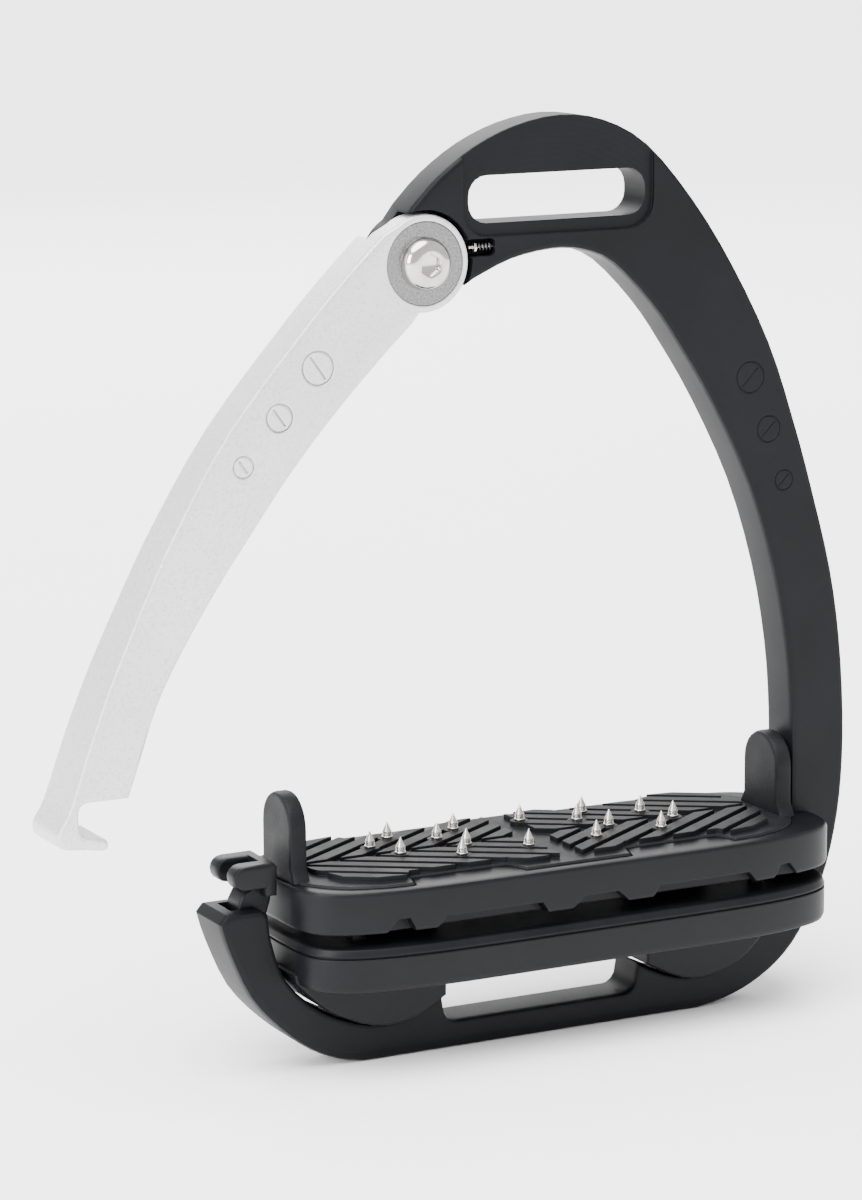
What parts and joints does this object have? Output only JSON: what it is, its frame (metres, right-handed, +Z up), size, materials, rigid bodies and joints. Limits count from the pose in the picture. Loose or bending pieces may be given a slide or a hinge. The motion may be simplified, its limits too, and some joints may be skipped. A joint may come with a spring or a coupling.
{
  "type": "stirrup iron",
  "caption": "Safety stirrup iron: an arched frame with a strap slot, a hinged side arm with a hook, a small latch lever and a studded, cushioned footbed.",
  "frame": {"origin": "on the flat underside of the frame's foot, at the middle of its depth, below the middle of the strap slot", "axes": "+X from the release arm to the fixed branch, +Y to the back, +Z up towards the strap slot"},
  "size_m": [0.1792, 0.044, 0.1877],
  "materials": {
    "frame_black": "satin black anodised",
    "arm_silver": "fine blasted silver",
    "screw_steel": "polished",
    "washer_steel": "dull",
    "spring_steel": "bright wire",
    "stud_steel": "polished",
    "tray_polymer": "moulded matt",
    "tread_rubber": "fine grain",
    "cushion_rubber": "soft",
    "lever_black": "satin"
  },
  "bodies": {
    "frame": {"main_frame": "frame_black", "hinge_screw": "screw_steel", "hinge_washer": "washer_steel", "hinge_sleeve": "screw_steel", "detent_pin": "screw_steel", "detent_spring": "spring_steel", "lower_tray": "tray_polymer", "guide_pin_1": "lever_black", "guide_pin_2": "lever_black", "guide_pin_3": "lever_black", "guide_pin_4": "lever_black", "cushion_1": "cushion_rubber", "cushion_2": "cushion_rubber", "tray_screw_1": "screw_steel", "tray_screw_2": "screw_steel", "latch_pin": "screw_steel", "latch_spring": "spring_steel"},
    "arm": {"release_arm": "arm_silver"},
    "footbed": {"upper_tray": "tray_polymer", "tread_pad": "tread_rubber", "stud_01": "stud_steel", "stud_02": "stud_steel", "stud_03": "stud_steel", "stud_04": "stud_steel", "stud_05": "stud_steel", "stud_06": "stud_steel", "stud_07": "stud_steel", "stud_08": "stud_steel", "stud_09": "stud_steel", "stud_10": "stud_steel", "stud_11": "stud_steel", "stud_12": "stud_steel", "stud_13": "stud_steel", "stud_14": "stud_steel", "stud_15": "stud_steel", "stud_16": "stud_steel"},
    "latch": {"latch_lever": "lever_black"}
  },
  "joints": [
    {"name": "arm_hinge", "type": "hinge", "parent": "frame", "child": "arm", "pos_m": [-0.0305, 0, 0.16], "axis": [0, 1, 0], "range_deg": [-13, 15]},
    {"name": "footbed_slide", "type": "slide", "parent": "frame", "child": "footbed", "axis": [0, 0, -1], "range_m": [0, 0.002], "stiffness_N_per_m": 15000, "springref_m": -0.0003, "deforming": ["cushion_1", "cushion_2"]},
    {"name": "latch_pivot", "type": "hinge", "parent": "frame", "child": "latch", "pos_m": [-0.069, 0, 0.0295], "axis": [0, 1, 0], "range_deg": [0, 5], "stiffness_Nm_per_rad": 0.5, "springref_deg": -5.73}
  ]
}
